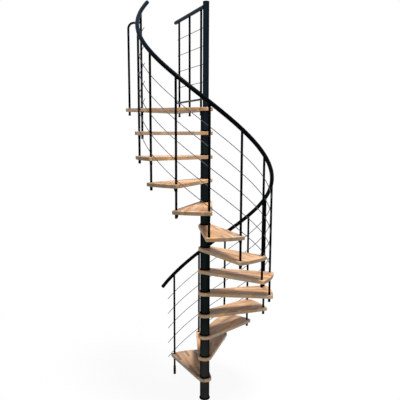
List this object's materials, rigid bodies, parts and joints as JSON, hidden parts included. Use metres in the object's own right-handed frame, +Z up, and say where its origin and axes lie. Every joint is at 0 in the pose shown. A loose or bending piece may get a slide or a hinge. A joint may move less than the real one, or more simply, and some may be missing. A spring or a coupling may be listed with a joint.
{
  "type": "spiral staircase",
  "caption": "Spiral staircase with wooden wedge treads and a triangular landing on a black steel column, tube balusters, helical handrail and thin infill rods.",
  "frame": {"origin": "centre of the column foot's underside, on the floor", "axes": "+Z up along the column; the lowest baluster stands at 120.8 degrees from +X, and the stair turns clockwise as it climbs"},
  "size_m": [1.5126, 1.5124, 4.1465],
  "materials": {
    "black_steel": "satin powder coat",
    "black_plastic": "satin",
    "laminated_wood": "oiled, finger-jointed staves",
    "rod_steel": "drawn, dull grey"
  },
  "bodies": {
    "root": {"foot": "black_steel", "center_pole": "black_steel", "pole_cap": "black_steel", "column_sleeves": "black_steel", "tread_brackets": "black_steel", "floor_socket": "black_steel", "landing_top_rail": "black_steel", "landing_posts": "black_steel", "landing_low_rail": "black_steel", "bent_end_post": "black_steel", "baluster_01": "black_steel", "baluster_02": "black_steel", "baluster_03": "black_steel", "baluster_04": "black_steel", "baluster_05": "black_steel", "baluster_06": "black_steel", "baluster_07": "black_steel", "baluster_08": "black_steel", "baluster_09": "black_steel", "baluster_10": "black_steel", "baluster_11": "black_steel", "baluster_12": "black_steel", "baluster_13": "black_steel", "sleeve_rings": "black_plastic", "end_caps": "black_plastic", "handrail": "black_plastic", "tread_01": "laminated_wood", "tread_02": "laminated_wood", "tread_03": "laminated_wood", "tread_04": "laminated_wood", "tread_05": "laminated_wood", "tread_06": "laminated_wood", "tread_07": "laminated_wood", "tread_08": "laminated_wood", "tread_09": "laminated_wood", "tread_10": "laminated_wood", "tread_11": "laminated_wood", "tread_12": "laminated_wood", "landing_platform": "laminated_wood", "infill_rod_1": "rod_steel", "infill_rod_2": "rod_steel", "infill_rod_3": "rod_steel", "infill_rod_4": "rod_steel", "infill_rod_5": "rod_steel", "landing_rods": "rod_steel"}
  },
  "joints": []
}
